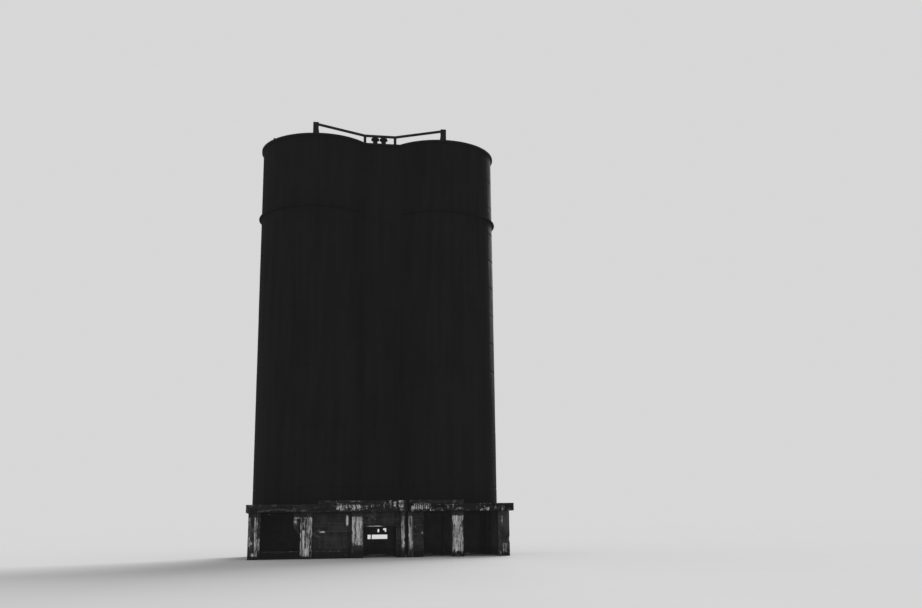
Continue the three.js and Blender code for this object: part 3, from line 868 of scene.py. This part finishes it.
# Pocket walls. Flat walls cast with the bins in the same lifts, which close the hollow between
# them at front and rear, under the same coat of tar.
POCKET_GRID = (0.2, 0.09, 0.3)
for seed, side in enumerate(("front", "rear"), 81):
    node = f"pocket_wall_{side}"
    low, high = corners(node)
    joints = [FIRST_JOINT + LIFT_HEIGHT * number + JOINT_HEIGHT * part
              for number in range(LIFTS) for part in (0, 1 / 3, 2 / 3, 1)]
    stops = [*zip(low, high)][:2] + [(low[2], *joints, high[2])]
    lines = [grid_lines(*along, spacing=spacing) for along, spacing in zip(stops, POCKET_GRID)]
    points, outward, quads = block_skin(lines)
    moved = weather(points, outward, low, high, dent=0.006, arris=0, chip=0, seed=seed)[0]
    phase = np.mod(points[:, 2] - FIRST_JOINT, LIFT_HEIGHT)
    in_joint = (phase > 0.005) & (phase < JOINT_HEIGHT - 0.005) & (points[:, 2] > FIRST_JOINT)
    moved[:, 1] -= outward[:, 1] * JOINT_DEPTH * in_joint
    put_together(f"pocket_{side}", moved, quads, tar, "tarred_concrete", [node], crease=25)

# Ledges. A narrow ring of tarred concrete around each bin in its tenth lift, rounded on its
# edge and thick with drips below, that stops beside the pocket walls.
LEDGE_PROFILE = [(0.0, 0.0), (0.1, -0.004), (0.17, 0.004), (0.204, 0.024), (0.212, 0.045),
                 (0.204, 0.068), (0.17, 0.086), (0.1, 0.09), (0.0, 0.09)]
LEDGE_GAP = math.radians(45)
LEDGE_STEPS = 220
LEDGE_TONES = (0.006, 0.01)
LEDGE_WAVE = 0.006
LEDGE_DRIP = 0.012


def ring_faces(count, wide):
    """Faces over count rings of wide points in a row, closed at both ends."""
    quads = [(first + part, first + (part + 1) % wide, first + wide + (part + 1) % wide,
              first + wide + part) for first in range(0, (count - 1) * wide, wide)
             for part in range(wide)]
    return quads + [tuple(range(wide))[::-1], tuple(range((count - 1) * wide, count * wide))]


ledge_tar = tar_finish("tarred_ledge", LEDGE_TONES, worn=False)
for seed, (side, facing) in enumerate(SIDES.items(), 91):
    node = f"ledge_{side}"
    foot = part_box(node)[0][2]
    shell_low, shell_high = corners(f"shell_{side}")
    axis_x = (shell_low[0] + shell_high[0]) / 2
    radius = (shell_high[0] - shell_low[0]) / 2
    points = []
    for number in range(LEDGE_STEPS + 1):
        angle = LEDGE_GAP + (math.tau - 2 * LEDGE_GAP) * number / LEDGE_STEPS
        direction = Vector((-facing * math.cos(angle), math.sin(angle), 0))
        drip = LEDGE_DRIP * max(0, noise.noise(Vector((angle * 30, seed, 0))))
        wave = LEDGE_WAVE * noise.noise(Vector((angle * 6, seed, 5)))
        for out, rise in LEDGE_PROFILE[::facing]:
            place = Vector((axis_x, 0, foot)) + direction * (radius - 0.01 + out * 0.99 - abs(wave))
            place.z += max(0.0, rise) + wave - (drip if rise < 0.03 else 0)
            points.append(place)
    quads = ring_faces(LEDGE_STEPS + 1, len(LEDGE_PROFILE))
    put_together(f"ring_{side}", points, quads, ledge_tar, "tarred_concrete", [node], crease=50)

# Roof. One flat slab over both bins, poured on the last lift, with an eave all round and several
# coats of bitumen laid in strips and dressed with fine gravel.
ROOF_BEVEL = 0.02
ROOF_ROUND_STEPS = 160
ROOF_LINK_STEPS = 15
EAVE = 0.148
STRIP_WIDTH = 0.9
BITUMEN_TONES = (0.006, 0.07)
LAP_TONE = 0.008
roof_low, roof_high = corners("roof_slab")
bin_low, bin_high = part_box("shell_right")
bin_axis = (bin_low[0] + bin_high[0]) / 2
roof_radius = roof_high[0] - bin_axis
pocket_half = abs(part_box("pocket_wall_front")[0][1]) + EAVE


def roof_outline(inset):
    """The edge of the roof: two round ends with straight links."""
    radius = roof_radius - inset
    half = pocket_half - inset
    start = math.pi - math.asin(half / radius)
    outline = []
    for centre, turn in ((bin_axis, 1), (-bin_axis, -1)):
        for number in range(ROOF_ROUND_STEPS + 1):
            angle = -start + 2 * start * number / ROOF_ROUND_STEPS
            outline.append((centre + turn * radius * math.cos(angle), turn * radius * math.sin(angle)))
        corner = outline[-1][0]
        for number in range(1, ROOF_LINK_STEPS):
            outline.append((corner * (1 - 2 * number / ROOF_LINK_STEPS), outline[-1][1]))
    return outline


bitumen, place = open_finish("bitumen_roof")
lap = (0.5 - (place.axis(1) / STRIP_WIDTH).off_whole()).fade(0.45, 0.5)
mottle = place.clouds(0.6, 6, 0.65)
gravel = place.pebbles(45.0)
dust = (0.7 * mottle + 0.3 * place.clouds(6, 4, 0.7)).fade(0.42, 0.66)
on_top = place.axis(2).fade(roof_high[2] - 0.01, roof_high[2] - 0.001)
colour = blend(lap * 0.6, blend(dust * on_top, *BITUMEN_TONES), LAP_TONE)
close_finish(place, colour, 0.88, 0.5 * gravel + 0.5 * mottle - 0.5 * lap, 0.01, 0.15)
points = []
rings = [(ROOF_BEVEL, roof_low[2]), (0, roof_low[2] + ROOF_BEVEL), (0, roof_high[2] - ROOF_BEVEL),
         (ROOF_BEVEL, roof_high[2])]
for inset, height in rings:
    for x, y in roof_outline(inset):
        waver = 0.008 * noise.noise(Vector((x, y, 0)) * 1.3)
        waver += 0.004 * noise.noise(Vector((x, y, height)) * 5)
        shrink = 1 - abs(waver) / roof_radius
        points.append((x * shrink, y * shrink, height))
quads = ring_faces(len(rings), len(points) // len(rings))
put_together("roof", points, quads, bitumen, "tarred_concrete", ["roof_slab"], crease=40)

# Guard rail. One bent bar of steel box section on two slim posts, which slopes down from the tapered
# box posts at its ends. All stand on base plates bolted to the roof. The black paint has rusted.
RAIL_DEPTH = 0.18
RAIL_WIDTH = 0.15
RAIL_BEVEL = 0.016
END_POST_FLARE = 0.07
END_POST_FLARE_HEIGHT = 0.5
END_POST_BEVEL = 0.018
SLIM_POST_BEVEL = 0.012
SLIM_POST_TENON = 0.01
PLATE_THICK = 0.02
PLATE_BEVEL = 0.004
END_PLATE_PROUD = (0.06, 0.07)
SLIM_PLATE_PROUD = (0.07, 0.07)
BOLT_RADIUS = 0.016
BOLT_HEIGHT = 0.022
BOLT_INSET = 0.035
BOLT_SEAT = 0.004
PAINT_TONE = 0.006
PAINT_RUST_TONES = (0.012, 0.035)

steel, place = open_finish("painted_steel")
runs = place.stretched(1, 1, 0.25).clouds(9, 4, 0.7)
rusted = (0.6 * place.clouds(2.6, 6, 0.7) + 0.4 * runs).fade(0.5, 0.68)
grain = place.clouds(60, 3, 0.7)
colour = blend(rusted, PAINT_TONE, blend(grain.fade(0.35, 0.65), *PAINT_RUST_TONES))
close_finish(place, colour, 0.55 + 0.35 * rusted, 0.6 * rusted + 0.4 * grain, 0.003, 0.12)


def rectangle(left, right_end, foot, head):
    return [(left, foot), (right_end, foot), (right_end, head), (left, head)]


def soft_steel(name, rings, bevel, nodes=()):
    """A steel piece through rings of points, with soft edges."""
    points = [point for ring in rings for point in ring]
    quads = ring_faces(len(rings), len(rings[0]))
    piece = put_together(name, points, quads, steel, "dark_steel", nodes, crease=60)
    edge = piece.modifiers.new("soften", "BEVEL")
    edge.width = bevel
    edge.segments = 3
    edge.limit_method = "ANGLE"


def beveled(name, outline, low_y, high_y, bevel, nodes=()):
    """A front view outline given depth."""
    rings = [[(x, y, z) for x, z in outline] for y in (high_y, low_y)]
    soft_steel(name, rings, bevel, nodes)


bolts, wires = open_recipe("bolts", Radius="Float", Height="Float", Finish="Material")
radius, height = wires["Radius"], wires["Height"]
head = radius.node("GeometryNodeMeshCylinder", {"Vertices": 6, "Radius": radius, "Depth": height})
washer = radius.node("GeometryNodeMeshCylinder",
                     {"Vertices": 16, "Radius": radius * 1.5, "Depth": height * 0.4})
raised = radius.node("ShaderNodeCombineXYZ", {2: height * 0.6})
lifted = head.node("GeometryNodeTransform", {"Geometry": head, "Translation": raised})
joined = bolts.nodes.new("GeometryNodeJoinGeometry")
bolts.links.new(washer.socket, joined.inputs[0])
bolts.links.new(lifted.socket, joined.inputs[0])
turn = radius.node("ShaderNodeCombineXYZ", {2: radius.node("GeometryNodeInputIndex") * 0.7})
spread = radius.node("GeometryNodeInstanceOnPoints",
                     {"Points": wires["Start"], "Rotation": turn,
                      "Instance": Wire(bolts, joined.outputs[0])})
close_recipe(bolts, spread, wires["Finish"])
bolt_places = []


def base_plate(name, post_low, post_high, proud):
    """A plate under a post, with a bolt in each corner."""
    low, high = post_low[:2] - proud, post_high[:2] + proud
    top = roof_high[2] + PLATE_THICK
    beveled(name, rectangle(low[0], high[0], roof_high[2], top), low[1], high[1], PLATE_BEVEL)
    for x in (low[0] + BOLT_INSET, high[0] - BOLT_INSET):
        for y in (low[1] + BOLT_INSET, high[1] - BOLT_INSET):
            bolt_places.append((x, y, top + BOLT_SEAT))


rail_low, rail_high = corners("guard_rail")
end_y = rail_low[1] + RAIL_WIDTH / 2
end_z = rail_high[2] - RAIL_DEPTH / 2
path = [(rail_low[0], end_y, end_z)]
for side, facing in SIDES.items():
    node = f"rail_end_{side}"
    low, high = corners(node)
    near, far = (low[0], high[0])[::facing]
    near_head = near + END_POST_FLARE * facing
    outline = [(far, low[2]), (far, high[2]), (near_head, high[2]),
               (near_head, low[2] + END_POST_FLARE_HEIGHT), (near, low[2])]
    beveled(f"end_post_{side}", outline[::facing], low[1], high[1], END_POST_BEVEL, [node])
    base_plate(f"end_plate_{side}", low, high, END_PLATE_PROUD)
    node = f"rail_post_{side}"
    low, high = corners(node)
    outline = rectangle(low[0], high[0], low[2], high[2] + SLIM_POST_TENON)
    beveled(f"slim_post_{side}", outline, low[1], high[1], SLIM_POST_BEVEL, [node])
    base_plate(f"slim_plate_{side}", low, high, SLIM_PLATE_PROUD)
    middle = (low + high) / 2
    path.append((middle[0], middle[1], rail_low[2] + RAIL_DEPTH / 2))
path.append((rail_high[0], end_y, end_z))
rings = [[(x, y + across * RAIL_WIDTH / 2, z + upward * RAIL_DEPTH / 2)
          for across, upward in rectangle(-1, 1, -1, 1)] for x, y, z in path]
soft_steel("bent_rail", rings, RAIL_BEVEL, ["guard_rail"])

# Rim lug. A short lug for lifting gear at the edge of the roof, cut from thick steel plate with
# sloping shoulders and cast into the slab.
LUG_THICK = 0.1
LUG_SHOULDER = 0.03
LUG_BEVEL = 0.008
low, high = corners("rim_lug")
middle = (low + high) / 2
half = (high[0] - low[0]) / 2
shoulder = high[2] - LUG_SHOULDER
shape = ((-0.8, low[2]), (0.8, low[2]), (0.6, shoulder), (0.3, high[2]), (-0.3, high[2]),
         (-0.6, shoulder))
outline = [(middle[0] + half * share, height) for share, height in shape]
beveled("lifting_lug", outline, middle[1] - LUG_THICK / 2, middle[1] + LUG_THICK / 2, LUG_BEVEL,
        ["rim_lug"])

# Vents. Two mushroom vents of rolled steel plate on the roof between the bins: a stem with a
# bolted flange and a wide conical cap with a rolled edge.
VENT_STEPS = 64
VENT_PROFILE = [(0, 0), (0.245, 0), (0.25, 0.006), (0.25, 0.022), (0.245, 0.028), (0.198, 0.03),
                (0.19, 0.036), (0.19, 0.455), (0.195, 0.466), (0.265, 0.49), (0.312, 0.51),
                (0.326, 0.519), (0.33, 0.533), (0.33, 0.615), (0.325, 0.631), (0.31, 0.643),
                (0.231, 0.745), (0.15, 0.795), (0.065, 0.815), (0, 0.82)]
VENT_BOLTS = 8
VENT_BOLT_CIRCLE = 0.222
VENT_BOLT_FOOT = 0.032


def circle(centre, radius, height, count, first=0.0):
    """Points on a level circle."""
    angles = [math.tau * (number + first) / count for number in range(count)]
    return [(centre[0] + radius * math.cos(angle), centre[1] + radius * math.sin(angle), height)
            for angle in angles]


for side in SIDES:
    node = f"vent_{side}"
    low, high = corners(node)
    centre = (low + high) / 2
    points = []
    for radius, height in VENT_PROFILE[1:-1]:
        points += circle(centre, radius, low[2] + height, VENT_STEPS)
    quads = ring_faces(len(VENT_PROFILE) - 2, VENT_STEPS)[:-2]
    last = len(points)
    top = last - VENT_STEPS
    points += [(centre[0], centre[1], low[2] + VENT_PROFILE[end][1]) for end in (0, -1)]
    for number in range(VENT_STEPS):
        beside = (number + 1) % VENT_STEPS
        quads += [(last, beside, number), (last + 1, top + number, top + beside)]
    put_together(f"mushroom_{side}", points, quads, steel, "dark_steel", [node], crease=35)
    bolt_places += circle(centre, VENT_BOLT_CIRCLE, low[2] + VENT_BOLT_FOOT, VENT_BOLTS, 0.5)
settings = {"Radius": BOLT_RADIUS, "Height": BOLT_HEIGHT, "Finish": steel}
adopt(cook("roof_bolts", bolts, settings, bolt_places), steel)
